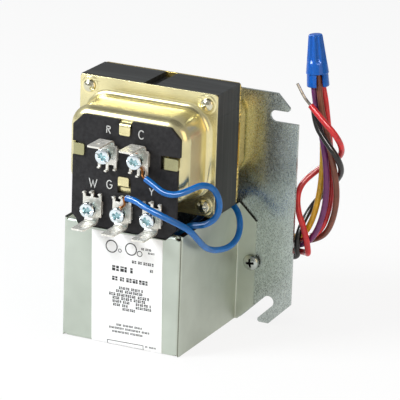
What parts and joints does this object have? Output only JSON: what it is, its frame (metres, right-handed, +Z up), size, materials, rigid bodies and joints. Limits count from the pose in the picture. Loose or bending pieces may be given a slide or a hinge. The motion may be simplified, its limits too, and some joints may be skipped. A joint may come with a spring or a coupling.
{
  "type": "fan center",
  "caption": "Low-voltage transformer and fan relay on a junction-box cover plate, with screw and push-on terminals, a folded steel cover, jumpers and loose leads in a twist-on connector.",
  "frame": {"origin": "on the mounting plate's back face, midway across the core and the cover, 54 mm above the plate's bottom edge", "axes": "+X to the right seen from the front, +Y out of the plate's back, +Z up; the terminals face -Y"},
  "size_m": [0.1279, 0.0907, 0.1354],
  "materials": {
    "galvanised_steel": "galvanised sheet with a fine spangle",
    "zinc_plate": "satin zinc-plated sheet",
    "bright_zinc": "bright zinc plate",
    "label_paper": "bare white label",
    "varnished_core": "dark varnished laminations",
    "yellow_chromate": "shiny yellow zinc chromate",
    "black_moulding": "moulded insulation",
    "enamelled_copper": "enamelled copper wire",
    "insulating_paper": "varnished insulating paper",
    "black_fibre": "charcoal fibre board",
    "tin_plate": "bright tin plate",
    "spring_bronze": "spring bronze",
    "contact_silver": "silver contact",
    "blue_nylon": "blue moulded shell",
    "bare_copper": "bare copper",
    "tinned_copper": "tinned copper strand",
    "yellow_pvc": "wire insulation",
    "purple_pvc": "wire insulation",
    "red_pvc": "wire insulation",
    "brown_pvc": "wire insulation",
    "black_pvc": "wire insulation",
    "blue_pvc": "wire insulation"
  },
  "bodies": {
    "base": {"mounting_plate": "galvanised_steel", "relay_cover": "zinc_plate", "cover_screws": "bright_zinc", "front_label": "label_paper", "core_e_stack": "varnished_core", "core_i_stack": "varnished_core", "front_bell": "yellow_chromate", "rear_bell": "yellow_chromate", "core_rivets": "bright_zinc", "coil_bobbin": "black_moulding", "primary_winding": "enamelled_copper", "secondary_winding": "enamelled_copper", "coil_wrap": "insulating_paper", "terminal_board": "black_fibre", "terminal_screws": "bright_zinc", "lead_bushing": "black_moulding", "relay_yoke": "bright_zinc", "relay_pole": "bright_zinc", "relay_bobbin": "black_moulding", "relay_winding": "enamelled_copper", "armature_spring": "spring_bronze", "closed_contact": "spring_bronze", "open_contact": "spring_bronze", "contact_block": "black_moulding", "relay_screws": "bright_zinc", "wire_nut": "blue_nylon", "jumper_c_conductor": "bare_copper", "jumper_g_conductor": "bare_copper", "red_lead_conductor": "tinned_copper", "yellow_lead": "yellow_pvc", "purple_lead": "purple_pvc", "red_joined_lead": "red_pvc", "red_lead": "red_pvc", "brown_lead": "brown_pvc", "black_lead": "black_pvc", "blue_jumper_c": "blue_pvc", "blue_jumper_g": "blue_pvc", "terminal_r": "tin_plate", "terminal_c": "tin_plate", "terminal_w": "tin_plate", "terminal_g": "tin_plate", "terminal_y": "tin_plate"},
    "armature": {"relay_armature": "bright_zinc", "blade_insulator": "black_fibre", "moving_blade": "spring_bronze", "moving_contact": "contact_silver"}
  },
  "joints": [
    {"name": "armature_swing", "type": "hinge", "parent": "base", "child": "armature", "pos_m": [-0.01, -0.0376, -0.018], "axis": [1, 0, 0], "range_deg": [0, 3.8], "stiffness_Nm_per_rad": 0.02, "springref_deg": -3.44}
  ]
}
